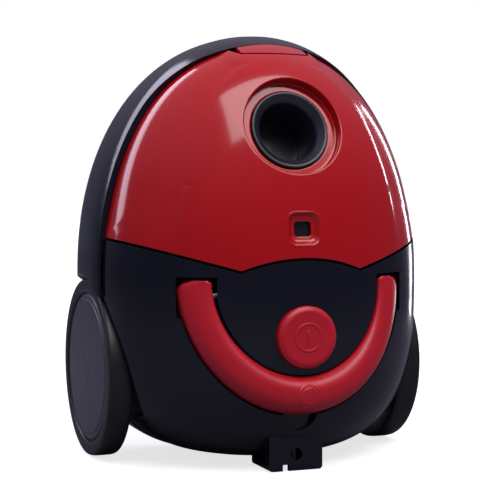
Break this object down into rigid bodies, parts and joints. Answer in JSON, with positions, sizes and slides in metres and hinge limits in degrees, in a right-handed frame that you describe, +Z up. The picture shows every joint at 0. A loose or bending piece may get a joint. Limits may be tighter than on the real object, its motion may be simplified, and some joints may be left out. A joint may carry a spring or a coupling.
{
  "type": "canister vacuum cleaner",
  "caption": "Bagged canister vacuum cleaner parked upright on its rear end, with hinged lid, hose inlet, fold-out carry handle, power button and large side wheels.",
  "frame": {"origin": "middle of the bounding box's bottom, on the floor that the parked machine stands on", "axes": "+Z up through the nose, -Y towards the lid and handle, +Y towards the running side with the caster, +X to the right seen from the lid side"},
  "size_m": [0.281, 0.2252, 0.3446],
  "materials": {
    "black_gloss": "gloss",
    "red_gloss": "gloss",
    "red_satin": "satin",
    "black_matte": "matte",
    "grey_cap": "matte",
    "tyre_black": "matte",
    "grey_plastic": "matte",
    "rubber": "matte",
    "clear": "gloss",
    "steel": "brushed",
    "zinc": "satin",
    "copper": "satin",
    "brass": "satin",
    "carbon": "matte",
    "bag_paper": "matte",
    "card": "matte",
    "foam": "matte",
    "fleece": "matte"
  },
  "bodies": {
    "body": {"bag_collar": "card", "bag_gasket": "rubber", "bag_holder": "red_satin", "base_housing": "black_gloss", "brake_pin": "steel", "brake_spring": "steel", "brush_holders": "brass", "brushes": "carbon", "button_spring": "steel", "case_screws": "zinc", "cord_gland": "rubber", "dust_bag": "bag_paper", "exhaust_filter": "fleece", "exhaust_grille": "black_matte", "fan_housing": "zinc", "field_coils": "copper", "filter_foam": "foam", "filter_frame": "grey_plastic", "handle_pins": "steel", "lid_hinge_pins": "steel", "motor_bearings": "steel", "motor_can": "zinc", "motor_mount": "rubber", "motor_seal": "rubber", "power_switch": "black_matte", "rear_cover": "black_gloss", "reel_bracket": "zinc", "reel_shaft": "steel", "reel_spring": "steel", "stator_core": "steel", "wheel_axles": "steel"},
    "lid": {"dust_cover": "red_gloss", "lid_gasket": "rubber", "inlet_sleeve": "black_matte", "window_lens": "clear", "indicator_case": "grey_plastic", "indicator_spring": "steel", "latch_pin": "steel", "latch_spring": "steel"},
    "latch": {"latch_hook": "red_gloss"},
    "shutter": {"indicator_shutter": "red_satin"},
    "handle": {"carry_handle": "red_satin"},
    "button": {"power_button": "red_satin"},
    "right_wheel": {"tyre_right": "tyre_black", "wheel_hub_right": "black_matte", "hub_cap_right": "grey_cap"},
    "left_wheel": {"tyre_left": "tyre_black", "wheel_hub_left": "black_matte", "hub_cap_left": "grey_cap"},
    "caster": {"caster_fork": "black_matte", "caster_axle": "steel"},
    "caster_roller": {"caster_wheel": "grey_plastic"},
    "rotor": {"motor_shaft": "steel", "rotor_core": "steel", "commutator": "copper", "impeller": "zinc"},
    "reel": {"reel_drum": "grey_plastic", "slip_contacts": "brass"},
    "brake": {"brake_lever": "zinc", "brake_roller": "rubber"}
  },
  "joints": [
    {"name": "lid_hinge", "type": "hinge", "parent": "body", "child": "lid", "pos_m": [0, -0.09186, 0.147], "axis": [1, 0, 0], "range_deg": [0, 68]},
    {"name": "latch_pivot", "type": "hinge", "parent": "lid", "child": "latch", "pos_m": [0, -0.04385, 0.317], "axis": [1, 0, 0], "range_deg": [0, 10], "stiffness_Nm_per_rad": 0.6, "springref_deg": -11.46, "deforming": ["latch_spring"]},
    {"name": "shutter_slide", "type": "slide", "parent": "lid", "child": "shutter", "axis": [0, -0.1045, -0.9945], "range_m": [0, 0.008], "stiffness_N_per_m": 20, "springref_m": -0.004, "deforming": ["indicator_spring"]},
    {"name": "handle_hinge", "type": "hinge", "parent": "body", "child": "handle", "pos_m": [0, -0.08285, 0.139], "axis": [-1, 0, 0], "range_deg": [0, 80]},
    {"name": "button_press", "type": "slide", "parent": "body", "child": "button", "axis": [0, 1, 0], "range_m": [0, 0.0035], "stiffness_N_per_m": 400, "springref_m": -0.003, "deforming": ["button_spring"]},
    {"name": "right_wheel_spin", "type": "hinge", "parent": "body", "child": "right_wheel", "pos_m": [0.126, 0.03964, 0.073], "axis": [1, 0, 0], "continuous": true},
    {"name": "left_wheel_spin", "type": "hinge", "parent": "body", "child": "left_wheel", "pos_m": [-0.126, 0.03964, 0.073], "axis": [1, 0, 0], "continuous": true},
    {"name": "caster_swivel", "type": "hinge", "parent": "body", "child": "caster", "pos_m": [0, 0.08314, 0.262], "axis": [0, 1, 0], "continuous": true},
    {"name": "caster_roll", "type": "hinge", "parent": "caster", "child": "caster_roller", "pos_m": [0, 0.09964, 0.248], "axis": [1, 0, 0], "continuous": true},
    {"name": "motor_spin", "type": "hinge", "parent": "body", "child": "rotor", "pos_m": [-0.05, 0.02215, 0.1], "axis": [0, 0, 1], "continuous": true},
    {"name": "reel_spin", "type": "hinge", "parent": "body", "child": "reel", "pos_m": [0.045, -0.00186, 0.09], "axis": [1, 0, 0], "continuous": true},
    {"name": "brake_pivot", "type": "hinge", "parent": "body", "child": "brake", "pos_m": [0.072, -0.05285, 0.151], "axis": [-1, 0, 0], "range_deg": [0, 5], "stiffness_Nm_per_rad": 0.8, "springref_deg": -8.59, "deforming": ["brake_spring"]}
  ]
}
